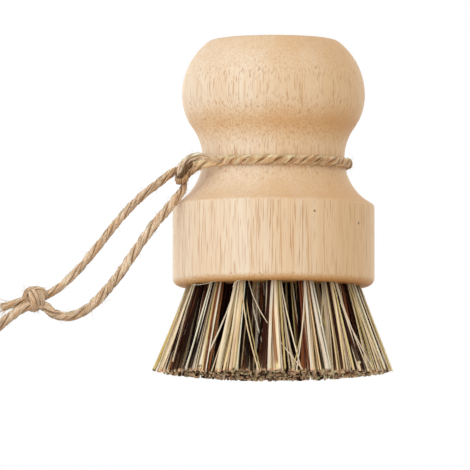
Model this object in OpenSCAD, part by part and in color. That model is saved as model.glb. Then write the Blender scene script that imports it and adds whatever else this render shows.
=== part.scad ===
// Palm brush: a turned wooden handle with a round knob, tufts of plant fibre held in splayed
// blind holes, and a loop of jute twine tied round the neck.
// Millimetres, +Z up. The origin is on the handle's axis, in the plane that the bristle tips stand on.

/* [Handle] */
// Overall height, from the bristle tips to the top of the knob
overall_h = 79.2; // [78.4:0.2:80]
// Height of the underside of the head, which is the free length of the bristles
head_z = 21.5; // [20:0.5:24]
// Radius of the cylindrical head
head_r = 23.6; // [23:0.1:24]
// Radius of the rounding at the lower edge of the head
head_round = 2; // [1:0.25:3]
// Radius of the rounding at the shoulder's rim
rim_round = 1; // [0.5:0.25:1.5]
// Radius of the neck at its narrowest
neck_r = 16.6; // [16.2:0.1:17]
// Height of the narrowest place of the neck
neck_z = 51.5; // [51:0.25:52]
// Radius of the hollow curve of the neck, seen from the side
neck_curve = 12.2; // [12:0.1:12.6]
// Radius of the knob at its widest
knob_r = 21.4; // [21:0.1:22]
// Height of the widest place of the knob
knob_z = 66.3; // [65.8:0.1:66.8]
// Radius of the curve of the knob above its widest place, seen from the side
knob_curve = 15.7; // [15.2:0.1:16.2]
// Radius of the rounding at the edge of the flat top
top_round = 3; // [2:0.25:3.5]

/* [Tufts] */
// Radius of the outer ring of tuft holes
outer_ring_r = 18.4; // [18:0.1:18.8]
// Radius of the middle ring of tuft holes
middle_ring_r = 12; // [11.6:0.1:12.4]
// Radius of the inner ring of tuft holes
inner_ring_r = 6; // [5.8:0.1:6.2]
// Radius of a tuft hole
hole_r = 1.9; // [1.8:0.05:2]
// Depth of a tuft hole
hole_depth = 9; // [7:0.5:10]
// Radius of the circle of tips, which sets how far the tufts splay
tip_circle_r = 28; // [27:0.25:29]
// How much higher the outermost tips end than the middle of the dome that the tips form
tip_dome = 2; // [1:0.25:3]

/* [Anchors] */
// Width of the flat steel anchor across the hole
anchor_w = 3.4; // [3:0.1:3.5]
// Thickness of the anchor
anchor_t = 0.4; // [0.3:0.1:0.6]
// Height of the anchor along the hole
anchor_h = 1.8; // [1.4:0.1:2.2]

/* [Twine] */
// Thickness of the twine
twine_d = 2.1; // [1.8:0.1:2.2]
// Thickness of the twine where it is pulled flat against the neck
turn_t = 1.45; // [1.3:0.05:1.5]
// Radius of the knot beside the neck
neck_knot_r = 2.55; // [2.3:0.05:2.6]
// Radius of the knot that closes the loop
end_knot_r = 3; // [2.8:0.1:3.2]

/* [Hidden] */
$fn = 96;
eps = 0.1;

// Centres of the three curves of the handle's outline, as radius and height
neck_centre = [neck_r + neck_curve, neck_z];
knob_centre = [knob_r - knob_curve, knob_z];
// The curve under the widest place of the knob just touches the neck's curve
under_gap = neck_centre[0] - knob_r;
under_curve = (pow(under_gap, 2) + pow(knob_z - neck_z, 2) - pow(neck_curve, 2))
    / (2 * (neck_curve - under_gap));
under_centre = [knob_r - under_curve, knob_z];
under_angle = atan2(neck_z - knob_z, neck_centre[0] - under_centre[0]);
under_end = under_centre + under_curve * [cos(under_angle), sin(under_angle)];
// Rounding of the shoulder's rim, touching the head's side and the neck's curve
rim_x = head_r - rim_round;
rim_z = neck_z - sqrt(pow(neck_curve + rim_round, 2) - pow(neck_centre[0] - rim_x, 2));
rim_end = neck_centre + neck_curve / (neck_curve + rim_round) * ([rim_x, rim_z] - neck_centre);
// Rounding of the top edge, touching the flat top and the knob's curve
top_z = overall_h - top_round;
top_x = knob_centre[0] + sqrt(pow(knob_curve - top_round, 2) - pow(top_z - knob_z, 2));
top_angle = atan2(top_z - knob_z, top_x - knob_centre[0]);

// Each ring of tufts as its radius and how many tufts it has, outer ring first
tuft_rings = [[outer_ring_r, 16], [middle_ring_r, 10], [inner_ring_r, 5], [0, 1]];
tuft_places = [for (ring = tuft_rings) for (i = [0:ring[1] - 1]) [ring[0], i * 360 / ring[1]]];
tuft_count = len(tuft_places);
plug_r = hole_r - 0.05;
plug_proud = 0.4;

// Strands of a tuft: a middle one and two rings, as radius and how many
strand_rings = [[0, 1], [0.72, 5], [1.42, 8]];
strand_places = [for (ring = strand_rings) for (i = [0:ring[1] - 1])
    ring[0] * [cos(i * 360 / ring[1]), sin(i * 360 / ring[1])]];
strand_root_r = 0.26;
strand_tip_r = 0.45;
strand_sides = 4;
strand_root_z = head_z - 0.1;
// A tuft opens out to this many times its width, and the ring of tufts to this many times its radius
tuft_fan = 2.3;
ring_fan = (tip_circle_r - strand_tip_r - tuft_fan * strand_rings[2][0]) / outer_ring_r;
// The middle tips are cut off flat by this much, where the brush stands on them
tip_cut = 0.5;

// The knot beside the neck: its direction, its distance from the axis and its height
knot_angle = 195;
knot_reach = 22.3;
knot_z = 48.5;
// The turn round the neck: its middle line's radius, height and how far it leans to the front
turn_r = neck_r + 0.32 + turn_t / 2;
turn_h = 2.2;
turn_z = 50.2;
turn_lean = 0.4;
turn_sides = 8;
turn_steps = 23;
turn_free_steps = 3;
tangent_angle = acos(turn_r / knot_reach);
// Where the loop closes, and how its knot slopes
end_knot_place = [-55.5, -14.9, 17.4];
end_knot_slope = 15;

// Routes of the free twine, from the knot beside the neck outwards
upper_route = [
    [-24.1, -6.4, 47.3], [-27, -7.2, 45], [-30, -8, 42.6], [-33, -8.9, 39.7], [-36, -9.7, 36.3],
    [-39, -10.5, 32.5], [-42, -11.3, 28.6], [-45, -12, 25], [-48, -12.9, 21.9], [-50.5, -13.6, 19.8],
    [-53, -14.2, 18.4]
];
lower_route = [
    [-20.8, -7, 45.6], [-21.2, -8.4, 43.3], [-22.6, -9.9, 41.4], [-24.8, -11, 38.6],
    [-27.5, -11.8, 35.4], [-30, -12.5, 32], [-33, -13.3, 27.5], [-36, -13.9, 23.1],
    [-39, -14.3, 19.4], [-42, -14.7, 16.2], [-45, -14.9, 14.2], [-48, -15.1, 13.4],
    [-51, -15.2, 14], [-53.6, -15.3, 15.9]
];
short_tail_route = [[-57.4, -14.3, 17.6], [-59.4, -14.3, 17.3], [-61.4, -14.4, 16.8], [-63.2, -14.5, 16.2]];
long_tail_route = [
    [-57.4, -16.3, 15.6], [-60.5, -16.8, 13.7], [-64, -17.2, 10.8], [-67, -17.7, 7.6],
    [-69.4, -18.2, 4.4], [-71.6, -18.7, 2.2], [-74.2, -19.2, 1.2], [-77, -19.6, 1.2]
];

function numbered(i) = str("tuft_", i < 10 ? "0" : "", i);

// Height at which a strand ends at this place: the trim is flat in the middle and at the front,
// and rises a little to the sides and the back
function tip_height(p) = max(0, tip_dome * pow(norm(p) / tip_circle_r, 2) - tip_cut)
    * min(1, 1 + p[1] / max(norm(p), 1));

// A point turned by an angle about the vertical axis
function turned(p, a) = [p[0] * cos(a) - p[1] * sin(a), p[0] * sin(a) + p[1] * cos(a)];

// Corners of a strand's cut across, at a place, a height and a size
function strand_cut(place, z, r) = [for (i = [0:strand_sides - 1])
    [place[0] + r * cos(i * 360 / strand_sides), place[1] + r * sin(i * 360 / strand_sides), z]];

// Triangles of a closed tube made of rings with the same number of corners each
function tube_faces(rings, sides) = concat(
    [for (k = [0:rings - 2]) for (i = [0:sides - 1]) each
        let (a = k * sides + i, b = k * sides + (i + 1) % sides, c = a + sides, d = b + sides)
        [[a, d, b], [a, c, d]]],
    [for (i = [1:sides - 2]) [0, i, i + 1]],
    [for (i = [1:sides - 2]) (rings - 1) * sides * [1, 1, 1] + [0, i + 1, i]]
);

function unit(v) = v / norm(v);

// Direction of a route at one of its points
function heading(route, k) = unit(route[min(k + 1, len(route) - 1)] - route[max(k - 1, 0)]);

// Corners of a tube along a route: half_across is its half size level with the ground,
// half_up its half size square to that
function tube_points(route, half_across, half_up, sides) = [for (k = [0:len(route) - 1])
    let (t = heading(route, k), across = unit(cross([0, 0, 1], t)), up = cross(t, across))
    for (i = [0:sides - 1])
        route[k] + half_across * cos(i * 360 / sides) * across + half_up * sin(i * 360 / sides) * up];

// Middle line of the turn round the neck, from the knot round the neck and back to the knot
function turn_rim(a) = [turn_r * cos(a), turn_r * sin(a), turn_z + turn_lean * sin(a)];
turn_start = knot_angle + tangent_angle;
turn_end = knot_angle + 360 - tangent_angle;
knot_place = [knot_reach * cos(knot_angle), knot_reach * sin(knot_angle), knot_z];
// How much of the way from the tangent point to the knot's middle the twine goes
turn_free = 1 - (neck_knot_r - 0.4) / norm(knot_place - turn_rim(turn_start));
turn_route = concat(
    [for (k = [0:turn_free_steps - 1])
        let (f = turn_free * (1 - k / turn_free_steps))
        (1 - f) * turn_rim(turn_start) + f * knot_place],
    [for (k = [0:turn_steps]) turn_rim(turn_start + (turn_end - turn_start) * k / turn_steps)],
    [for (k = [1:turn_free_steps])
        let (f = turn_free * k / turn_free_steps)
        (1 - f) * turn_rim(turn_end) + f * knot_place]
);
echo(gap_between_the_ends_of_the_turn = norm(turn_route[0] - turn_route[len(turn_route) - 1]) - turn_h);

// Part of a disc between two angles that are less than 120 degrees apart
module sector(centre, r, from, to) {
    far = 4 * r;
    middle = (from + to) / 2;
    intersection() {
        translate(centre) circle(r);
        polygon([
            centre, centre + far * [cos(from), sin(from)],
            centre + far * [cos(middle), sin(middle)], centre + far * [cos(to), sin(to)]
        ]);
    }
}

// Half of the handle's cut through its axis
module handle_outline() {
    // Head with its rounded lower edge
    translate([0, head_z]) square([head_r - head_round, rim_z - head_z]);
    translate([0, head_z + head_round]) square([head_r, rim_z - head_z - head_round]);
    translate([head_r - head_round, head_z + head_round]) circle(head_round);
    // Shoulder and neck, with the hollow curve cut away
    translate([rim_x, rim_z]) circle(rim_round);
    difference() {
        polygon([[0, rim_z - eps], [rim_x, rim_z - eps], [rim_x, rim_z], rim_end, under_end, [0, under_end[1]]]);
        translate(neck_centre) circle(neck_curve);
    }
    // Knob below and above its widest place
    polygon([[0, under_end[1] - eps], [under_end[0] - 1, under_end[1] - eps], under_end,
        under_centre, [under_centre[0], knob_z + eps], [0, knob_z + eps]]);
    sector(under_centre, under_curve, under_angle, 0);
    sector(knob_centre, knob_curve, 0, top_angle);
    polygon([[0, knob_z], knob_centre, [top_x, top_z], [top_x, overall_h], [0, overall_h]]);
    translate([top_x, top_z]) circle(top_round);
}

// Puts its children at a tuft's hole mouth, with +Z going up the hole
module at_tuft(place) {
    splay = atan((ring_fan - 1) * place[0] / head_z);
    rotate([0, 0, place[1]]) translate([place[0], 0, head_z]) rotate([0, -splay, 0]) children();
}

module handle() {
    color("burlywood") difference() {
        rotate_extrude() handle_outline();
        for (place = tuft_places)
            at_tuft(place) translate([0, 0, -2]) cylinder(r = hole_r, h = hole_depth + 2);
    }
}

// The flat anchor's slot or the anchor itself, with play all round
module anchor_block(play) {
    size = [anchor_w, anchor_t, anchor_h] + play * [2, 2, 2];
    translate([0, 0, hole_depth - anchor_h / 2 - 0.3]) cube(size, center = true);
}

module tuft_anchors() {
    color("silver") for (place = tuft_places) at_tuft(place) anchor_block(0);
}

module strand(place, at) {
    root = turned([place[0] + at[0], at[1]], place[1]);
    tip = turned([ring_fan * place[0] + tuft_fan * at[0], tuft_fan * at[1]], place[1]);
    polyhedron(
        concat(strand_cut(tip, tip_height(tip), strand_tip_r), strand_cut(root, strand_root_z, strand_root_r)),
        tube_faces(2, strand_sides)
    );
}

module tuft(place) {
    color("wheat") {
        difference() {
            intersection() {
                at_tuft(place) translate([0, 0, -2]) cylinder(r = plug_r, h = hole_depth + 1.9);
                translate([0, 0, head_z - plug_proud]) cylinder(r = head_r, h = hole_depth + 2);
            }
            at_tuft(place) anchor_block(0.05);
        }
        for (at = strand_places) strand(place, at);
    }
}

module twine(route) {
    color("peru") polyhedron(
        tube_points(route, twine_d / 2, twine_d / 2, turn_sides), tube_faces(len(route), turn_sides));
}

module neck_turn() {
    color("peru") polyhedron(
        tube_points(turn_route, turn_t / 2, turn_h / 2, turn_sides), tube_faces(len(turn_route), turn_sides));
}

// Two wraps of twine side by side round the +Z axis
module wraps(r, wrap_r, apart) {
    rotate_extrude() intersection() {
        union() {
            for (side = [-1, 1]) translate([r - wrap_r, side * apart / 2]) circle(wrap_r);
            translate([0, -apart / 2 - wrap_r / 2]) square([r - wrap_r, apart + wrap_r]);
        }
        translate([0, -2 * r]) square([2 * r, 4 * r]);
    }
}

module neck_knot() {
    color("peru") translate(knot_place) rotate([0, 0, knot_angle]) rotate([90, 0, 0])
        wraps(neck_knot_r, 1.3, 2.1);
}

module end_knot() {
    color("peru") translate(end_knot_place) rotate([0, 0, knot_angle]) rotate([0, 90 + end_knot_slope, 0])
        wraps(end_knot_r, 1.5, 2.2);
}

module upper_strand() {
    twine(upper_route);
}

module lower_strand() {
    twine(lower_route);
}

module short_tail() {
    twine(short_tail_route);
}

module long_tail() {
    twine(long_tail_route);
}

handle();
tuft_anchors();
neck_turn();
neck_knot();
upper_strand();
lower_strand();
end_knot();
short_tail();
long_tail();
for (i = [1:tuft_count]) tuft(tuft_places[i - 1]);
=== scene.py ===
"""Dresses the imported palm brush: turned wood, split plant fibres and laid jute twine."""

import math
import random

import bpy
from mathutils import Matrix, Vector, noise


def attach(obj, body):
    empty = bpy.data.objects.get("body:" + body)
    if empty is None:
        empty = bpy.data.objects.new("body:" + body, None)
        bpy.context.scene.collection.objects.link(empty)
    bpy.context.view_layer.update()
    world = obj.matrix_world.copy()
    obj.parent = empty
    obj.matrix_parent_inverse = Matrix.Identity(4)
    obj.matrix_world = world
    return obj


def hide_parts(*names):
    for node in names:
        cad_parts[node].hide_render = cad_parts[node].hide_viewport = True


MM = 0.001
UP = Vector((0, 0, 1))

# The photograph: its scale at the handle's axis, and a view from a little below the level
IMAGE_WIDTH = 470
PIXELS_PER_MM = 4.28
VIEW_TILT = math.radians(4.3)
VIEW_TARGET = Vector((-9.0, 0.0, 33.5))
VIEW_DISTANCE = 2500.0

# A sky that is stronger towards one side, and soft boxes, each with its place and size in millimetres
# and its watts
SKY_STRENGTH = 0.90
SKY_SIDE = (-0.21, -0.26, 0.14)
LAMPS = (
    ("key_light", (-700, -1600, 500), 2400, 7),
    ("left_edge_light", (-800, 1550, 100), 1300, 6),
    ("right_edge_light", (900, 1500, 100), 1300, 6),
)

# In metres: the floor's radius, and where its pale middle starts and ends fading to plain white
FLOOR_RADIUS = 3
FLOOR_FADE = (0.06, 0.45)

# The brush's sizes in millimetres, as in the CAD model
HEAD_Z = 21.5
TIP_CIRCLE_R = 28.0
TIP_DOME = 2.0
TIP_CUT = 0.5
TUFT_RINGS = ((18.4, 16), (12.0, 10), (6.0, 5), (0.0, 1))
TUFT_ROOT_R = 1.65
RING_FAN = 1.32
TURN_Z = 50.2
TURN_R = 17.645
KNOT_ANGLE = math.radians(195)
KNOT_SLOPE = math.radians(15)
END_KNOT = Vector((-55.5, -14.9, 17.4))

# The loop's two strands in millimetres, each from inside the hitch through the end knot to its tail's end
UPPER_ROUTE = (
    (-20.9, -6, 49), (-22.3, -6.2, 48.4), (-24.1, -6.4, 47.3), (-27, -7.2, 45), (-30, -8, 42.6),
    (-33, -8.9, 39.7), (-36, -9.7, 36.3), (-39, -10.5, 32.5), (-42, -11.3, 28.6), (-45, -12, 25),
    (-48, -12.9, 21.9), (-50.5, -13.6, 19.8), (-53, -14.2, 18.4),
    (-57.4, -14.3, 17.2), (-59.4, -14.3, 16.7), (-61.4, -14.4, 16.1), (-63.2, -14.5, 15.5),
)
LOWER_ROUTE = (
    (-21, -6.3, 47.4), (-20.8, -7, 45.6), (-21.2, -8.4, 43.3), (-22.6, -9.9, 41.4), (-24.8, -11, 38.6),
    (-27.5, -11.8, 35.4), (-30, -12.5, 32), (-33, -13.3, 27.5), (-36, -13.9, 23.1), (-39, -14.3, 19.4),
    (-42, -14.7, 16.2), (-45, -14.9, 14.2), (-48, -15.1, 13.4), (-51, -15.2, 14), (-53.6, -15.3, 15.9),
    (-57.4, -16.3, 15.6), (-60.5, -16.8, 13.7), (-64, -17.2, 10.8), (-67, -17.7, 7.6),
    (-69.4, -18.2, 4.4), (-71.6, -18.7, 2.2), (-74.2, -19.2, 1.2), (-77, -19.6, 1.2),
)

# The turn round the neck: the degrees that it leaves free for the hitch, its tilt in millimetres, and its
# two ends in the hitch, as pixels and depths of the photograph
TURN_GAP_FRONT = 34
TURN_GAP_BACK = 30
TURN_TILT = 0.4
TURN_FRONT_END = ((183.5, 173, -8.5), (189, 169.4, -9.8), (196.5, 165.8, -11.4), (205, 163.4, -13))
TURN_BACK_END = ((199.5, 159.5, 2.5), (193, 162.5, -2), (187, 167, -6))

# The hitch beside the neck, as pixels and depths: a bight over its top, a strand under it, and a tuck
# between them
HITCH_BIGHT = (
    (228, 161.4, -12), (217, 160.8, -13.6), (207, 158.4, -13), (199.5, 157.2, -10.9), (192, 158, -9.6),
    (186.4, 161.6, -9), (182.4, 167, -9.4), (181, 173, -9.6), (182, 178, -8.8), (185, 179, -6.5),
)
HITCH_UNDER = (
    (213, 162.2, -13), (203, 165.6, -12.8), (196, 169.4, -12), (189.6, 173.4, -11), (184.8, 178.2, -10.4),
    (181, 181.4, -9.4), (178.6, 180.6, -7.8), (178.4, 176, -6),
)
HITCH_TUCK = (
    (196, 162.8, -10), (191.5, 165.2, -10.7), (187.6, 168.6, -11), (185.5, 173, -11), (181.8, 176.4, -10.2),
    (178.5, 175.6, -8.6),
)

# The end knot's wraps in millimetres, and the strand over them: along the knot, to its side and up
WRAP_TURNS = 2.1
WRAP_START = 0.6
WRAP_STEPS = 30
WRAP_HALF_LENGTH = 1.5
WRAP_RADIUS = 1.45
WRAP_BELLY = 0.4
KNOT_SLANT = ((-2.6, 0, 0.4), (-1.9, -1.6, 1.2), (-0.6, -1.2, 2.0), (0.9, 0, 2.1), (1.8, 1.4, 0.8))

# How twine is laid, in millimetres, and its plies' place and half widths, as shares of its width
TWINE_STEP = 0.3
LOOP_LAY = 13
SLIM_LENGTH = 8
FRAYED_HAIRS = 60
PLY_SIDES = 10
PLY_OUT = 0.21
PLY_HALF_OUT = 0.275
PLY_HALF_ROUND = 0.43

# Colours, as linear light
WHITE = (1, 1, 1, 1)
FLOOR_COLOUR = (0.9, 0.9, 0.9, 1)
WOOD_PALE = (0.885, 0.72, 0.535)
WOOD_WARM = (0.77, 0.485, 0.235)
WOOD_PORE = (0.52, 0.24, 0.085)
WOOD_SPECK = (0.10, 0.055, 0.03)
# The end grain's tint, which on faces that look down is partly painted shade, and the painted shade of the
# undersides
END_GRAIN_AND_PAINTED_SHADE_TINT = (0.90, 0.71, 0.48)
UNDERSIDE_PAINTED_SHADE = (0.85, 0.70, 0.47)
STEEL_DARK = (0.50, 0.50, 0.51)
STEEL_PALE = (0.66, 0.66, 0.68)
STRAW = (
    (0.97, 0.82, 0.57), (0.93, 0.72, 0.41), (0.95, 0.84, 0.66), (0.78, 0.63, 0.27), (0.90, 0.74, 0.51),
)
RUSSET = ((0.34, 0.115, 0.042), (0.20, 0.058, 0.026), (0.43, 0.195, 0.080), (0.12, 0.034, 0.018))
DARK = ((0.034, 0.009, 0.004), (0.018, 0.005, 0.002), (0.066, 0.018, 0.008), (0.010, 0.004, 0.002))
PITH = (0.82, 0.49, 0.28)
FIBRE_STREAK = (0.50, 0.33, 0.18)
FIBRE_BLOTCH = (0.66, 0.46, 0.25)
JUTE_PALE = (0.97, 0.79, 0.58)
JUTE_BROWN = (0.96, 0.69, 0.42)
JUTE_STREAK = (0.60, 0.40, 0.24)
JUTE_PATCH = (0.80, 0.54, 0.32)
# Powers by which the painted shade on jute deepens green and blue more than red
JUTE_PAINTED_SHADE_POWERS = (1, 1.2, 1.45)

# Two dark specks on the front of the head: place and radius in metres
WOOD_SPECKS = (((0.00946, -0.02162, 0.0375), 0.00024), ((0.01974, -0.01293, 0.0353), 0.00028))

# A tuft's fibres, with the spreads of their tips and the length of their grain in millimetres. Each stage
# along a fibre has its share of the length and of the cut end's colour
FIBRES_IN_TUFT = 36
STRAY_SHARE = 0.17
RUSSET_SHARE = 0.30
PROUD_SHARE = 0.12
GOLDEN_ANGLE = 2.39996
TIP_SPREAD_OUT = 3.7
TIP_SPREAD_SIDE = 4.4
FIBRE_SIDES = 6
FIBRE_GRAIN = 22
FIBRE_STAGES = ((0, 0), (0.16, 0), (0.33, 0), (0.5, 0), (0.67, 0), (0.84, 0), (0.98, 0.08), (1, 1))

# Fibres that the photograph shows at the front. Each is given for its tuft's number, as its place across
# the tuft and outwards at the root, its tip's place across and outwards in millimetres, its width and colour
FRONT_FIBRES = {
    10: ((0.85, 0.2, 0.6, 2.0, 0.6, RUSSET[1]), (0.7, 0.4, 0.1, 2.3, 0.5, RUSSET[0]),
         (0.2, 0.9, -1.5, 2.8, 0.9, STRAW[0])),
    11: ((0.7, 0.5, 2.0, 1.8, 0.6, RUSSET[0]), (0.9, 0.3, 2.6, 1.4, 0.55, RUSSET[2]),
         (0.8, 0.6, 3.2, 1.6, 0.5, RUSSET[1]), (0.95, 0.0, 3.8, 1.0, 0.6, RUSSET[0]),
         (-0.5, 0.8, -1.8, 3.0, 0.8, STRAW[2])),
    12: ((0.3, 0.85, 0.4, 3.0, 0.9, STRAW[4]), (0.2, 0.9, 7.2, 2.4, 0.3, STRAW[1]),
         (-0.6, 0.7, -3.2, 3.0, 1.0, STRAW[0])),
    13: ((-0.1, 0.95, -1.2, 3.2, 1.1, STRAW[2]), (0.6, 0.75, 2.6, 3.0, 0.7, STRAW[3]),
         (0.8, 0.5, 6.4, 2.6, 0.35, STRAW[0])),
    14: ((-0.75, 0.6, -1.8, 2.8, 0.6, RUSSET[0]), (-0.85, 0.5, -2.3, 2.8, 0.5, RUSSET[1]),
         (0.1, 0.9, 0.3, 3.1, 0.55, RUSSET[2]), (-0.3, 0.9, -5.6, 2.8, 0.3, STRAW[2]),
         (0.5, 0.8, 2.2, 3.1, 1.05, STRAW[2])),
    15: ((0.1, 0.9, 0.8, 3.0, 0.9, STRAW[4]), (-0.5, 0.8, 5.6, 3.0, 0.32, STRAW[2]),
         (-0.1, 0.9, 4.2, 2.6, 0.3, STRAW[0])),
    16: ((-0.4, 0.85, -1.4, 2.9, 1.0, STRAW[1]), (-0.8, 0.5, 1.6, 2.8, 0.7, STRAW[0])),
}

# Loose fibres caught under the head, as pixels and depths of the photograph
LOOSE_FIBRES = {
    10: ((((193.5, 284.4, -17), (201, 284.2, -18.4), (208, 282.8, -19), (215, 280.6, -19)), STRAW[2]),),
    12: ((((233, 286.5, -21.2), (234.5, 282.8, -21.4), (238, 280.2, -21.4), (243, 279.2, -20.8)), STRAW[2]),
         (((252, 281, -21), (256, 285.5, -21.6), (257, 292, -22), (260, 297, -22)), RUSSET[0]),
         (((262, 283, -21), (259, 288, -21.8), (255, 291, -22), (256, 300, -22)), RUSSET[1])),
}


def lerp(a, b, t):
    return a + (b - a) * t


def clamp(value):
    return min(1, max(0, value))


def tinted(colour, amount):
    return tuple(min(1, channel * amount) for channel in colour)


def uneven(share, x, y, z):
    """One, give or take a share that changes smoothly from place to place."""
    return 1 + share * noise.noise(Vector((x, y, z)))


def any_way(rng):
    return Vector((rng.uniform(-1, 1), rng.uniform(-1, 1), rng.uniform(-1, 1)))


def pixel(x, y, depth):
    """The place in millimetres of a pixel of the photograph, at a chosen depth along Y."""
    across = (x - IMAGE_WIDTH / 2) / PIXELS_PER_MM + VIEW_TARGET.x
    down = (y - IMAGE_WIDTH / 2) / PIXELS_PER_MM
    height = VIEW_TARGET.z + (depth * math.sin(VIEW_TILT) - down) / math.cos(VIEW_TILT)
    return Vector((across, depth, height))


def pixels(route):
    return [pixel(*place) for place in route]


# Materials

class Nodes:
    """Adds and joins the nodes of one shader tree by short calls."""

    def __init__(self, tree):
        self.tree = tree

    def add(self, kind):
        return self.tree.nodes.new(kind)

    def join(self, source, target):
        """Joins a socket to another one, or sets that one to a value."""
        if hasattr(source, "links"):
            self.tree.links.new(source, target)
        else:
            target.default_value = source

    def coords(self, kind="Object"):
        return self.add("ShaderNodeTexCoord").outputs[kind]

    def attribute(self, name):
        node = self.add("ShaderNodeAttribute")
        node.attribute_name = name
        return node.outputs

    def scaled(self, vector, scale):
        node = self.add("ShaderNodeMapping")
        node.inputs["Scale"].default_value = scale
        self.join(vector, node.inputs["Vector"])
        return node.outputs[0]

    def axes(self, vector):
        """A vector's X, Y and Z."""
        node = self.add("ShaderNodeSeparateXYZ")
        self.join(vector, node.inputs[0])
        return node.outputs

    def noise(self, where, detail=3.0, roughness=0.5, distortion=0.0):
        node = self.add("ShaderNodeTexNoise")
        node.inputs["Scale"].default_value = 1
        node.inputs["Detail"].default_value = detail
        node.inputs["Roughness"].default_value = roughness
        node.inputs["Distortion"].default_value = distortion
        self.join(where, node.inputs["Vector"])
        return node.outputs[0]

    def between(self, value, low, high, to_low=0.0, to_high=1.0):
        """A smooth step of a value from one range to another."""
        node = self.add("ShaderNodeMapRange")
        node.interpolation_type = "SMOOTHSTEP"
        for socket, number in zip(list(node.inputs)[1:5], (low, high, to_low, to_high)):
            socket.default_value = number
        self.join(value, node.inputs[0])
        return node.outputs[0]

    def maths(self, operation, first, second):
        node = self.add("ShaderNodeMath")
        node.operation = operation
        self.join(first, node.inputs[0])
        self.join(second, node.inputs[1])
        return node.outputs[0]

    def measure(self, operation, first, second=(0, 0, 0)):
        """The number that an operation on vectors gives."""
        node = self.add("ShaderNodeVectorMath")
        node.operation = operation
        self.join(first, node.inputs[0])
        self.join(second, node.inputs[1])
        return node.outputs["Value"]

    def mix(self, share, first, second, blend="MIX"):
        """Two colours, mixed by a share from 0 to 1. A colour is a socket or three numbers."""
        node = self.add("ShaderNodeMix")
        node.data_type = "RGBA"
        node.blend_type = blend
        self.join(share, node.inputs[0])
        for colour, socket in ((first, node.inputs[6]), (second, node.inputs[7])):
            self.join(colour if hasattr(colour, "links") else (*colour, 1), socket)
        return node.outputs[2]

    def mix_shaders(self, share, first, second):
        node = self.add("ShaderNodeMixShader")
        self.join(share, node.inputs[0])
        self.join(first, node.inputs[1])
        self.join(second, node.inputs[2])
        return node.outputs[0]


class Shader(Nodes):
    """A material with one Principled shader."""

    def __init__(self, name):
        self.material = bpy.data.materials.new(name)
        self.material.use_nodes = True
        super().__init__(self.material.node_tree)
        self.base = self.tree.nodes["Principled BSDF"]
        self.output = self.tree.nodes["Material Output"]

    def look(self, name, value):
        """Sets an input of the Principled shader to a value, or joins a socket to it."""
        self.join(value, self.base.inputs[name])

    def bump(self, height, depth, strength=1.0):
        """A bump of a height from 0 to 1, over a depth in millimetres."""
        node = self.add("ShaderNodeBump")
        node.inputs["Strength"].default_value = strength
        node.inputs["Distance"].default_value = depth * MM
        self.join(height, node.inputs["Height"])
        self.look("Normal", node.outputs[0])


def wood_material():
    """Pale timber with its grain along Z: fine upright pores on the sides, dots where it is cut across."""
    shader = Shader("turned_wood")

    def grain(across, along, detail, roughness=0.5):
        """Noise with a number of changes in a metre, across the grain and along it."""
        return shader.noise(shader.scaled(shader.coords(), (across, across, along)), detail, roughness)

    bands = grain(170, 9, 2)
    streaks = grain(1100, 22, 4, 0.7)
    pores = grain(4000, 150, 1, 0.4)
    vessels = grain(2900, 55, 1, 0.4)
    speckle = grain(3000, 700, 3, 0.6)

    # Warmer heartwood comes in from the middle to the right, with a wavy edge
    wave = shader.maths("MULTIPLY", bands, 0.016)
    heartwood = shader.between(shader.maths("ADD", shader.axes(shader.coords())["X"], wave), -0.002, 0.030,
                               0, 0.85)

    # How far the surface looks down or up, where the timber is cut across. Faces that look down get the end
    # grain's tint at full strength and faces that look up about a third of it, partly real end grain and
    # partly painted shade, and the undersides get a painted shade besides.
    facing = shader.axes(shader.coords("Normal"))["Z"]
    painted_underside_shade = shader.between(facing, -0.6, -1.0)
    top = shader.maths("MULTIPLY", shader.between(facing, 0.2, 0.95), 0.35)
    end_grain_and_painted_shade = shader.maths("MAXIMUM", shader.between(facing, -0.10, -0.75), top)
    upright = shader.between(facing, 0.15, 0.75, 1, 0.35)

    colour = shader.mix(heartwood, WOOD_PALE, WOOD_WARM)
    colour = shader.mix(shader.between(bands, 0.4, 0.66, 0, 0.22), colour, WOOD_WARM)
    colour = shader.mix(shader.between(streaks, 0.40, 0.62, 0, 0.28), colour, WOOD_WARM)
    # Painted shade: the end grain's tint is strongest on faces that look down, then a darker tint goes on
    # the undersides
    colour = shader.mix(end_grain_and_painted_shade, colour, END_GRAIN_AND_PAINTED_SHADE_TINT, "MULTIPLY")
    colour = shader.mix(painted_underside_shade, colour, UNDERSIDE_PAINTED_SHADE, "MULTIPLY")
    dark_pores = shader.between(pores, 0.565, 0.705, 0, 0.56)
    dark_vessels = shader.between(vessels, 0.60, 0.72, 0, 0.50)
    dots = shader.between(speckle, 0.48, 0.68, 0, 0.55)
    for dark, where in ((dark_pores, upright), (dark_vessels, upright), (dots, end_grain_and_painted_shade)):
        colour = shader.mix(shader.maths("MULTIPLY", dark, where), colour, WOOD_PORE)
    for place, radius in WOOD_SPECKS:
        away = shader.measure("DISTANCE", shader.coords(), place)
        colour = shader.mix(shader.between(away, radius * 1.6, radius * 0.5, 0, 0.85), colour, WOOD_SPECK)

    shader.look("Base Color", colour)
    shader.look("Roughness", shader.between(streaks, 0.3, 0.7, 0.50, 0.60))
    shader.look("Specular IOR Level", 0.3)
    shader.bump(shader.between(pores, 0.58, 0.74, 1, 0), 0.05, 0.5)
    return shader.material


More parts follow.
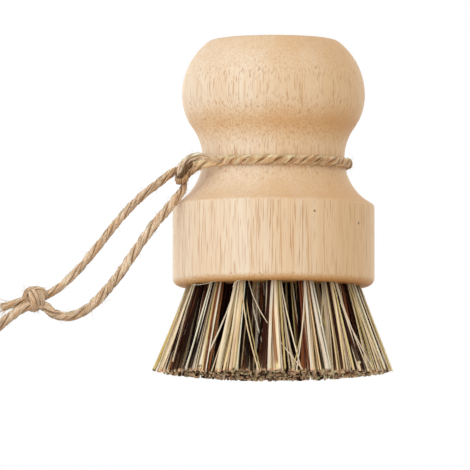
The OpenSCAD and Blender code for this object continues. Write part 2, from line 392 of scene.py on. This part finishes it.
def fibre_material():
    """Split plant fibre: each has its own tint, with streaks and blotches. The dark ones shine less."""
    shader = Shader("plant_fibre")
    grain = shader.attribute("grain")["Vector"]
    # The tint attribute holds each fibre's colour, painted darker towards the root as shade
    tint = shader.attribute("tint")
    streaks = shader.noise(shader.scaled(grain, (4, 4, 0.12)), detail=2)
    blotches = shader.noise(shader.scaled(grain, (0.9, 0.9, 0.14)), detail=2)
    colour = shader.mix(shader.between(streaks, 0.42, 0.66, 0, 0.4), tint["Color"], FIBRE_STREAK, "MULTIPLY")
    colour = shader.mix(shader.between(blotches, 0.52, 0.72, 0, 0.35), colour, FIBRE_BLOTCH, "MULTIPLY")
    shader.look("Base Color", colour)
    shader.look("Roughness", shader.between(streaks, 0.3, 0.7, 0.45, 0.6))
    shader.look("Specular IOR Level", shader.between(tint["Fac"], 0.05, 0.5, 0.08, 0.30))
    shader.bump(streaks, 0.03, 0.4)
    return shader.material


def jute_material():
    """Dry jute yarn: fibres laid along each ply, paler and darker, with a rough surface."""
    shader = Shader("jute")
    grain = shader.attribute("grain")["Vector"]
    # The tint attribute holds each ply's colour, with painted shade in its crease and underneath and painted
    # light on top
    tint = shader.attribute("tint")["Color"]
    strands = shader.noise(shader.scaled(grain, (7, 7, 0.55)), detail=3, roughness=0.65, distortion=0.2)
    patches = shader.noise(shader.scaled(grain, (0.6, 0.6, 0.25)), detail=2)
    colour = shader.mix(shader.between(strands, 0.38, 0.60, 0.82, 0), tint, JUTE_STREAK, "MULTIPLY")
    colour = shader.mix(shader.between(patches, 0.45, 0.70, 0, 0.6), colour, JUTE_PATCH, "MULTIPLY")
    shader.look("Base Color", colour)
    shader.look("Roughness", 0.85)
    shader.look("Specular IOR Level", 0.15)
    shader.look("Sheen Weight", 0.15)
    shader.look("Sheen Roughness", 0.5)
    shader.bump(strands, 0.12, 0.8)
    return shader.material


def steel_material():
    """Drawn staple wire, brushed upright."""
    shader = Shader("staple_steel")
    drawn = shader.noise(shader.scaled(shader.coords(), (4000, 4000, 300)))
    shader.look("Base Color", shader.mix(drawn, STEEL_DARK, STEEL_PALE))
    shader.look("Metallic", 1)
    shader.look("Roughness", shader.between(drawn, 0.3, 0.7, 0.28, 0.42))
    shader.bump(drawn, 0.01)
    return shader.material


# Camera, light and floor

def add_camera():
    data = bpy.data.cameras.new("photo_camera")
    data.angle = 2 * math.atan(IMAGE_WIDTH / PIXELS_PER_MM / 2 / VIEW_DISTANCE)
    data.clip_end = 100
    camera = bpy.data.objects.new("photo_camera", data)
    towards = Vector((0, math.cos(VIEW_TILT), math.sin(VIEW_TILT)))
    camera.location = (VIEW_TARGET - towards * VIEW_DISTANCE) * MM
    camera.rotation_euler = towards.to_track_quat("-Z", "Y").to_euler()
    bpy.context.scene.collection.objects.link(camera)
    bpy.context.scene.camera = camera


def add_lamp(name, place, size, power):
    """A square soft box, turned to the brush."""
    data = bpy.data.lights.new(name, "AREA")
    data.size = size * MM
    data.energy = power
    lamp = bpy.data.objects.new(name, data)
    lamp.location = Vector(place) * MM
    lamp.rotation_euler = (VIEW_TARGET - Vector(place)).to_track_quat("-Z", "Y").to_euler()
    lamp.visible_camera = False
    bpy.context.scene.collection.objects.link(lamp)


def light_world():
    """A pale sky that lights the brush, and is seen as plain white behind it."""
    world = bpy.data.worlds.new("studio")
    bpy.context.scene.world = world
    world.use_nodes = True
    world.node_tree.nodes.clear()
    sky = Nodes(world.node_tree)
    path = sky.add("ShaderNodeLightPath").outputs
    mirrored = sky.maths("MAXIMUM", path["Is Glossy Ray"], path["Is Transmission Ray"])
    seen = sky.maths("MAXIMUM", path["Is Camera Ray"], mirrored)
    sideways = sky.measure("DOT_PRODUCT", sky.coords("Generated"), SKY_SIDE)
    fill = sky.add("ShaderNodeBackground")
    sky.join(sky.maths("ADD", sideways, SKY_STRENGTH), fill.inputs["Strength"])
    white = sky.add("ShaderNodeBackground")
    white.inputs["Color"].default_value = WHITE
    output = sky.add("ShaderNodeOutputWorld")
    sky.join(sky.mix_shaders(seen, fill.outputs[0], white.outputs[0]), output.inputs["Surface"])


def add_floor():
    """A pale floor under the tips, which fades to plain white further out.

    It is clear from below, as the photograph looks up at the brush, and keeps no light from the brush.
    """
    bpy.ops.mesh.primitive_circle_add(vertices=64, radius=FLOOR_RADIUS, fill_type="NGON")
    floor = bpy.context.object
    floor.name = "floor"
    shader = Shader("pale_floor")
    shader.look("Base Color", FLOOR_COLOUR)
    shader.look("Roughness", 0.9)
    far = shader.between(shader.measure("LENGTH", shader.coords()), *FLOOR_FADE)
    path = shader.add("ShaderNodeLightPath").outputs
    below = shader.add("ShaderNodeNewGeometry").outputs["Backfacing"]
    clear = shader.maths("MAXIMUM", below, path["Is Shadow Ray"])
    clear = shader.maths("MAXIMUM", clear, path["Is Diffuse Ray"])
    white = shader.add("ShaderNodeEmission").outputs[0]
    open_air = shader.add("ShaderNodeBsdfTransparent").outputs[0]
    surface = shader.mix_shaders(far, shader.base.outputs[0], white)
    surface = shader.mix_shaders(clear, surface, open_air)
    shader.join(surface, shader.output.inputs["Surface"])
    floor.data.materials.append(shader.material)


# Meshes

class Tubes:
    """Gathers tubes into one mesh, each point with its tint and its place in its own tube's grain."""

    def __init__(self):
        self.points = []
        self.faces = []
        self.tints = []
        self.grain = []

    def ring(self, centre, across, up, sides, tint, along, seed):
        """One cross-section, an ellipse with the half axes across and up. A tint may depend on the place."""
        for k in range(sides):
            angle = 2 * math.pi * k / sides
            point = centre + (across * math.cos(angle) + up * math.sin(angle))
            self.points.append(point)
            self.tints.append(tint(point) if callable(tint) else tint)
            self.grain.append((math.cos(angle) * across.length + seed, math.sin(angle) * up.length + seed,
                               along))

    def skin(self, first, rings, sides, capped=True):
        """Faces over the rings that start at point number first."""
        for r in range(rings - 1):
            for k in range(sides):
                a = first + r * sides + k
                b = first + r * sides + (k + 1) % sides
                self.faces.append((a, b, b + sides, a + sides))
        if capped:
            last = first + (rings - 1) * sides
            self.faces.append(tuple(first + k for k in reversed(range(sides))))
            self.faces.append(tuple(last + k for k in range(sides)))

    def piece(self, name, material, body, slot):
        mesh = bpy.data.meshes.new(name)
        mesh.from_pydata([point * MM for point in self.points], [], self.faces)
        tint = mesh.attributes.new("tint", "FLOAT_COLOR", "POINT")
        tint.data.foreach_set("color", [channel for colour in self.tints for channel in (*colour, 1)])
        grain = mesh.attributes.new("grain", "FLOAT_VECTOR", "POINT")
        grain.data.foreach_set("vector", [number for place in self.grain for number in place])
        mesh.polygons.foreach_set("use_smooth", [len(face) == 4 for face in self.faces])
        mesh.materials.append(material)
        mesh.update()
        piece = bpy.data.objects.new(name, mesh)
        bpy.context.scene.collection.objects.link(piece)
        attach(piece, body)
        return piece


def curve_through(points, spacing):
    """Even steps along a Catmull-Rom curve through the points, found from steps four times finer."""
    points = [Vector(point) for point in points]
    ends = [2 * points[0] - points[1], *points, 2 * points[-1] - points[-2]]
    dense = []
    for before, start, end, after in zip(ends, ends[1:], ends[2:], ends[3:]):
        steps = max(2, math.ceil((end - start).length / spacing * 4))
        for k in range(steps):
            t = k / steps
            dense.append(0.5 * (2 * start + (end - before) * t
                                + (2 * before - 5 * start + 4 * end - after) * t ** 2
                                + (3 * start - before - 3 * end + after) * t ** 3))
    dense.append(points[-1])
    gone = [0.0]
    for a, b in zip(dense, dense[1:]):
        gone.append(gone[-1] + (b - a).length)
    count = max(2, round(gone[-1] / spacing))
    even = []
    k = 0
    for step in range(count + 1):
        want = gone[-1] * step / count
        while k < len(gone) - 2 and gone[k + 1] < want:
            k += 1
        even.append(dense[k].lerp(dense[k + 1], (want - gone[k]) / max(gone[k + 1] - gone[k], 1e-9)))
    return even


def frames_along(points, up):
    """The point, heading, side and up at each step, carried along with the least turning."""
    for k, point in enumerate(points):
        heading = (points[min(k + 1, len(points) - 1)] - points[max(k - 1, 0)]).normalized()
        up = (up - up.dot(heading) * heading).normalized()
        yield point, heading, heading.cross(up), up


def fine_tube(tubes, points, radius, tint):
    """A tube of three sides through the points, thinner to its end."""
    first = len(tubes.points)
    for k, (point, heading, side, up) in enumerate(frames_along(points, Vector((0.3, 0.2, 1)))):
        size = radius * (1 - 0.6 * k / len(points))
        tubes.ring(point, side * size, up * size, 3, tint, k * 0.3, points[0].x)
    tubes.skin(first, len(points), 3, capped=False)


# The twine

def lay_twine(tubes, fuzz, rng, route, width, lay=LOOP_LAY, flat=1.0, up=UP, tint=JUTE_PALE, shade=1.0,
              fray=0.0, slim=1.0):
    """Two plies in an S twist along a route, with fibres laid over them and loose hairs.

    The lay is the length of one twist. Flat narrows the twine sideways, shade is its brightness, and fray
    says how bushy its end is. A slim start is narrower and browner, where the twine comes out from under
    another turn.
    """
    frames = list(frames_along(curve_through(route, TWINE_STEP), up))
    seed = rng.uniform(0, 90)
    start = rng.uniform(0, math.pi)
    for ply in range(2):
        first = len(tubes.points)
        ply_seed = seed + 30 * ply
        angle = start + ply * math.pi
        cuts = []
        for k, (point, heading, side, up_here) in enumerate(frames):
            along = k * TWINE_STEP
            angle += 2 * math.pi * TWINE_STEP / lay * uneven(0.5, along * 0.22, seed, 9)
            swell = uneven(0.09, along * 0.4, ply_seed, 0)
            tone = shade * uneven(0.2, along * 0.2, ply_seed, 4)
            grown = 1 if slim == 1 else min(1, along / SLIM_LENGTH)
            thick = width * lerp(slim, 1, grown)
            hue = tuple(lerp(brown, full, grown) for brown, full in zip(JUTE_BROWN, tint))
            squeeze = Matrix.Scale(flat, 3, side)
            out = side * math.cos(angle) + up_here * math.sin(angle)
            centre = point + squeeze @ out * thick * PLY_OUT
            across = squeeze @ out * thick * PLY_HALF_OUT * swell
            high = squeeze @ heading.cross(out) * thick * PLY_HALF_ROUND * swell
            # Each ring's colour carries painted shade in the crease and on the lower side, and painted light
            # on top
            tubes.ring(centre, across, high, PLY_SIDES, ply_tint_with_painted_shade(point, thick, hue, tone), along, ply_seed)
            cuts.append((centre, across, high, tone))
        tubes.skin(first, len(frames), PLY_SIDES)
        lay_fibres(fuzz, cuts, rng, tint)
    add_hairs(fuzz, frames, rng, tint, width, flat, shade)
    fray_end(fuzz, frames[-1], rng, tint, width, shade, round(FRAYED_HAIRS * fray))


def ply_tint_with_painted_shade(middle, width, hue, tone):
    """The colour at a place on a ply, with painted shade and light: dark and deep in the crease between the
    plies, darker on the lower side and paler on top.
    """
    def at(place):
        crease = clamp(((place - middle).length / (width / 2) - 0.5) / 0.38)
        upper = clamp(0.5 + (place.z - middle.z) / width)
        light = tone * lerp(0.3, 1.08, crease) * lerp(0.62, 1.07, upper)
        return tuple(min(1, channel * light ** power) for channel, power in zip(hue, JUTE_PAINTED_SHADE_POWERS))
    return at


def lay_fibres(fuzz, cuts, rng, tint):
    """Single fibres along a ply, half sunk in its surface, each a little off the ply's own way."""
    for _ in range(round(len(cuts) * 0.9)):
        steps = min(rng.randint(5, 12), len(cuts) - 1)
        first = rng.randrange(len(cuts) - steps)
        angle = rng.uniform(-1.6, 1.6)
        drift = rng.uniform(-0.16, 0.16)
        radius = rng.uniform(0.03, 0.075)
        lift = rng.uniform(0.95, 1.12)
        tone = rng.choice((0.35, 0.6, 0.9, 1.1, 1.25))
        points = []
        for k in range(steps + 1):
            centre, across, high, shade = cuts[first + k]
            turn = angle + drift * k
            points.append(centre + (across * math.cos(turn) + high * math.sin(turn)) * lift)
        fine_tube(fuzz, points, radius, tinted(tint, shade * tone))


def add_hairs(fuzz, frames, rng, tint, width, flat, shade):
    """Loose hairs that leave the twine and curl."""
    for _ in range(round(len(frames) * 0.7)):
        point, heading, side, up = rng.choice(frames)
        angle = rng.uniform(0, 2 * math.pi)
        out = side * math.cos(angle) * flat + up * math.sin(angle)
        way = heading * rng.choice((-1, 1)) * rng.uniform(0.6, 1.4) + out * rng.uniform(0.1, 0.6)
        curl = any_way(rng) * 0.5
        hair(fuzz, point + out * width * 0.44, way.normalized(), curl, rng.uniform(0.7, 2.2),
             rng.uniform(0.025, 0.045), tinted(tint, shade * rng.uniform(0.8, 1.3)))


def fray_end(fuzz, end, rng, tint, width, shade, count):
    """A brush of hairs at the twine's cut end."""
    point, heading, side, up = end
    for _ in range(count):
        angle = rng.uniform(0, 2 * math.pi)
        out = side * math.cos(angle) + up * math.sin(angle)
        start = point - heading * 2.6 + out * rng.uniform(0, 0.42) * width
        way = heading + out * rng.uniform(0, 0.4)
        curl = any_way(rng) * 0.25
        hair(fuzz, start, way.normalized(), curl, rng.uniform(2.2, 4.0), rng.uniform(0.04, 0.08),
             tinted(tint, shade * rng.uniform(0.85, 1.3)))


def hair(tubes, start, way, curl, length, radius, tint):
    """One fine hair, curved by a pull across its way and kept above the floor."""
    points = [start + way * length * t + curl * length * t ** 2 for t in (0, 0.25, 0.5, 0.75, 1)]
    fine_tube(tubes, [Vector((p.x, p.y, max(p.z, radius))) for p in points], radius, tint)


def turn_route():
    """The turn round the neck in millimetres. It goes into the hitch from the front and from behind."""
    front = math.degrees(KNOT_ANGLE) + TURN_GAP_FRONT
    back = math.degrees(KNOT_ANGLE) + 360 - TURN_GAP_BACK
    arc = [math.radians(lerp(front, back, k / 24)) for k in range(25)]
    circle = [(TURN_R * math.cos(a), TURN_R * math.sin(a), TURN_Z + TURN_TILT * math.sin(a)) for a in arc]
    return pixels(TURN_FRONT_END) + circle + pixels(TURN_BACK_END)


def end_knot_runs():
    """The overhand knot of both strands: a barrel of wraps with one strand slanting over them."""
    axis = Vector((math.cos(KNOT_ANGLE), math.sin(KNOT_ANGLE), -math.tan(KNOT_SLOPE))).normalized()
    side = axis.cross(UP).normalized()
    up = side.cross(axis)
    wraps = []
    for k in range(WRAP_STEPS + 1):
        t = k / WRAP_STEPS
        angle = 2 * math.pi * WRAP_TURNS * t + WRAP_START
        radius = WRAP_RADIUS + WRAP_BELLY * math.sin(math.pi * t)
        out = (side * math.cos(angle) + up * math.sin(angle)) * radius
        wraps.append(END_KNOT + axis * lerp(-WRAP_HALF_LENGTH, WRAP_HALF_LENGTH, t) + out)
    slant = [END_KNOT + axis * along + side * aside + up * over for along, aside, over in KNOT_SLANT]
    return (dict(route=wraps, width=2.3, lay=16, up=axis, shade=0.92),
            dict(route=slant, width=1.7, lay=14, up=axis))


def twine_piece(name, body, nodes, fuzz, material, seed, runs):
    """One piece that replaces CAD nodes, laid from runs of twine, with its hairs gathered in fuzz."""
    tubes = Tubes()
    rng = random.Random(seed)
    for run in runs:
        lay_twine(tubes, fuzz, rng, **run)
    piece = tubes.piece(name, material, body, "twine")
    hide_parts(*nodes)
    return piece


def declare_cord(route):
    """Finds even steps 2.2 mm apart along a strand's route, and keeps nothing of them."""
    path = curve_through(route, 2.2)


def add_twine(jute):
    """The tie round the neck with its hitch, and the loop of two strands with its knot and tails."""
    neck_fuzz = Tubes()
    loop_fuzz = Tubes()
    turn = dict(route=turn_route(), width=2.2, lay=7.2, flat=0.72, tint=JUTE_BROWN, shade=1.3)
    bight = dict(route=pixels(HITCH_BIGHT), width=1.9, lay=20, shade=1.05, slim=0.55)
    # Painted shade: the strand under the hitch is a little darker, and the tuck in its middle very dark
    under = dict(route=pixels(HITCH_UNDER), width=1.6, lay=6, tint=JUTE_BROWN, shade=0.8, slim=0.5)
    tuck = dict(route=pixels(HITCH_TUCK), width=1.5, lay=7, tint=JUTE_BROWN, shade=0.28)
    upper = dict(route=UPPER_ROUTE, width=1.85, fray=1, slim=0.9)
    lower = dict(route=LOWER_ROUTE, width=2.15, fray=0.5, slim=0.4)

    neck_twine = twine_piece("neck_twine", "neck_tie", ["neck_turn"], neck_fuzz, jute, 11, [turn])
    hitch = twine_piece("hitch", "neck_tie", ["neck_knot"], neck_fuzz, jute, 12, [bight, under, tuck])
    loop_knot = twine_piece("loop_knot", "hang_loop", ["end_knot"], loop_fuzz, jute, 13, end_knot_runs())
    upper_cord = twine_piece("upper_cord", "hang_loop", ["upper_strand", "short_tail"], loop_fuzz, jute, 21,
                             [upper])
    lower_cord = twine_piece("lower_cord", "hang_loop", ["lower_strand", "long_tail"], loop_fuzz, jute, 22,
                             [lower])
    neck_hairs = neck_fuzz.piece("neck_hairs", jute, "neck_tie", "twine")
    loop_hairs = loop_fuzz.piece("loop_hairs", jute, "hang_loop", "twine")
    declare_cord(UPPER_ROUTE)
    declare_cord(LOWER_ROUTE)


# The bristles

def tip_height(place):
    """The trimmed tips: flat in the middle and to the front, and a little higher to the sides and back."""
    radius = math.hypot(place.x, place.y)
    dome = max(0, TIP_DOME * (radius / TIP_CIRCLE_R) ** 2 - TIP_CUT)
    return dome * min(1, 1 + place.y / max(radius, 1))


def add_fibre(tubes, root, bend, tip, width, thickness, facing, tint, rng):
    """One split fibre, a flat strip with round edges, from its hole to its cut end."""
    seed = rng.uniform(0, 500)
    pith = tinted(PITH, rng.choice((0.04, 0.3, 0.8, 1.3, 1.7)))
    twist = rng.uniform(-0.5, 0.5)
    first = len(tubes.points)
    points = [root * (1 - t) ** 2 + bend * 2 * t * (1 - t) + tip * t ** 2 for t, _ in FIBRE_STAGES]
    for (t, cut), (point, heading, side, up) in zip(FIBRE_STAGES, frames_along(points, facing)):
        turn = Matrix.Rotation(twist * t, 3, heading)
        size = lerp(0.75, 1, min(1, t * 1.6)) * uneven(0.08, seed, t * 3, 0)
        # The fibre's side is painted darker towards the root, as shade under the head and inside the tuft
        side_with_painted_shade = tinted(tint, lerp(0.5, 1.0, min(1, t * 2)))
        tone = tuple(lerp(channel, inside, cut) for channel, inside in zip(side_with_painted_shade, pith))
        tubes.ring(point, turn @ side * width / 2 * size, turn @ up * thickness / 2 * size, FIBRE_SIDES,
                   tone, t * FIBRE_GRAIN, seed)
    tubes.skin(first, len(points), FIBRE_SIDES, capped=False)

    # The cut end has points of its own, so that its colour stays apart from the sides'
    end = len(tubes.points)
    for point in tubes.points[end - FIBRE_SIDES:end]:
        tubes.points.append(point.copy())
        tubes.tints.append(pith)
        tubes.grain.append((point.x * 2 + seed, point.y * 2, 0))
    tubes.faces.append(tuple(end + k for k in range(FIBRE_SIDES)))


def fibre_look(rng, straw_chance, stray):
    """A random tint and width from the mix. A stray fibre is a thin one of straw."""
    pick = rng.random()
    if pick < straw_chance:
        tint = tinted(rng.choice(STRAW), rng.uniform(0.95, 1.2))
        width = rng.choice((0.45, 0.6, 0.75, 0.9, 1.0, 1.15))
    elif pick < straw_chance + (1 - straw_chance) * RUSSET_SHARE:
        tint = tinted(rng.choice(RUSSET), rng.uniform(0.7, 1.15))
        width = rng.uniform(0.45, 0.9)
    else:
        tint = tinted(rng.choice(DARK), rng.uniform(0.7, 1.4))
        width = rng.uniform(0.5, 1.0)
    if stray:
        width = rng.uniform(0.25, 0.45)
        tint = tinted(rng.choice(STRAW), rng.uniform(0.8, 1.1))
    return tint, width


def add_tuft(number, ring_radius, angle, material):
    """A tuft: a bundle of fibres that leave one splayed hole and fan out, paler on one side of it. An outer
    tuft's inward side and the inner tufts get darker fibres, partly the fibres' own mix and partly painted
    shade between the tufts.
    """
    rng = random.Random(100 + number)
    tubes = Tubes()
    outward = Vector((math.cos(angle), math.sin(angle), 0))
    sideways = Vector((-math.sin(angle), math.cos(angle), 0))
    splay = (RING_FAN - 1) * ring_radius / HEAD_Z
    down = (outward * splay - UP).normalized()
    mouth = outward * ring_radius + UP * HEAD_Z
    tip_middle = outward * ring_radius * RING_FAN

    def plant(side_share, out_share, tip_side, tip_out, width, tint, lift):
        """Adds one fibre, from 3 mm up the hole to its tip, kept inside the circle of the tips."""
        tip = tip_middle + outward * tip_out + sideways * tip_side
        if tip.length > TIP_CIRCLE_R:
            tip = tip.normalized() * TIP_CIRCLE_R
        tip.z = tip_height(tip) + lift
        spread = outward * out_share + sideways * side_share
        root = mouth - down * 3 + spread * TUFT_ROOT_R
        bend = root + down * 8.5 + spread * 0.5 + Vector((rng.uniform(-0.6, 0.6), rng.uniform(-0.6, 0.6), 0))
        facing = (outward + sideways * rng.gauss(0, 0.5)).normalized()
        add_fibre(tubes, root, bend, tip, width, min(width, rng.uniform(0.28, 0.45)), facing, tint, rng)

    outer = ring_radius == TUFT_RINGS[0][0]
    dark_side = rng.choice((-1, 1)) * rng.uniform(0.2, 0.5)
    for k in range(FIBRES_IN_TUFT):
        reach = math.sqrt((k + 0.5) / FIBRES_IN_TUFT)
        around = k * GOLDEN_ANGLE + rng.uniform(-0.4, 0.4)
        out_share = math.cos(around) * reach
        side_share = math.sin(around) * reach
        stray = rng.random() < STRAY_SHARE
        # Pale straw is likelier on an outer tuft's outward side and rare in the inner tufts: partly the
        # fibres' own mix, partly painted shade between the tufts
        straw_chance = 0.49 + 0.28 * out_share - dark_side * side_share if outer else 0.14
        tint, width = fibre_look(rng, straw_chance, stray)
        tip_side = side_share * TIP_SPREAD_SIDE + rng.gauss(0, 4.2 if stray else 0.6)
        tip_out = min(out_share * TIP_SPREAD_OUT + rng.gauss(0, 0.25), TIP_SPREAD_OUT)
        lift = rng.uniform(0.2, 2.5) if rng.random() < PROUD_SHARE else rng.uniform(0, 0.35)
        plant(side_share, out_share, tip_side, tip_out, width, tint, lift)
    for front_fibre in FRONT_FIBRES.get(number, ()):
        plant(*front_fibre, lift=0.1)
    for route, tint in LOOSE_FIBRES.get(number, ()):
        fine_tube(tubes, curve_through(pixels(route), 0.5), 0.08, tint)
    piece = tubes.piece(f"fibres_{number:02d}", material, "brush", "fibre")
    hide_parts(f"tuft_{number:02d}")


def add_bristles(material):
    number = 0
    for ring_radius, count in TUFT_RINGS:
        for k in range(count):
            number += 1
            add_tuft(number, ring_radius, 2 * math.pi * k / count, material)


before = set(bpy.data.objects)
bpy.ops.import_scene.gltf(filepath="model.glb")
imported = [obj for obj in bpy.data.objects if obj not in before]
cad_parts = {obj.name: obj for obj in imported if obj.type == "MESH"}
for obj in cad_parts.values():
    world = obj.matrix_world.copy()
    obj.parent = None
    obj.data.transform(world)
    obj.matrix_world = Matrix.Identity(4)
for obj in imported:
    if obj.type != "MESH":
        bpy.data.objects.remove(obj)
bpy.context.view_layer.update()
bpy.context.scene.view_settings.view_transform = "Standard"

add_camera()
light_world()
add_floor()
for lamp in LAMPS:
    add_lamp(*lamp)
for name, material in (("handle", wood_material()), ("tuft_anchors", steel_material())):
    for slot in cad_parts[name].material_slots:
        slot.material = material
add_twine(jute_material())
add_bristles(fibre_material())
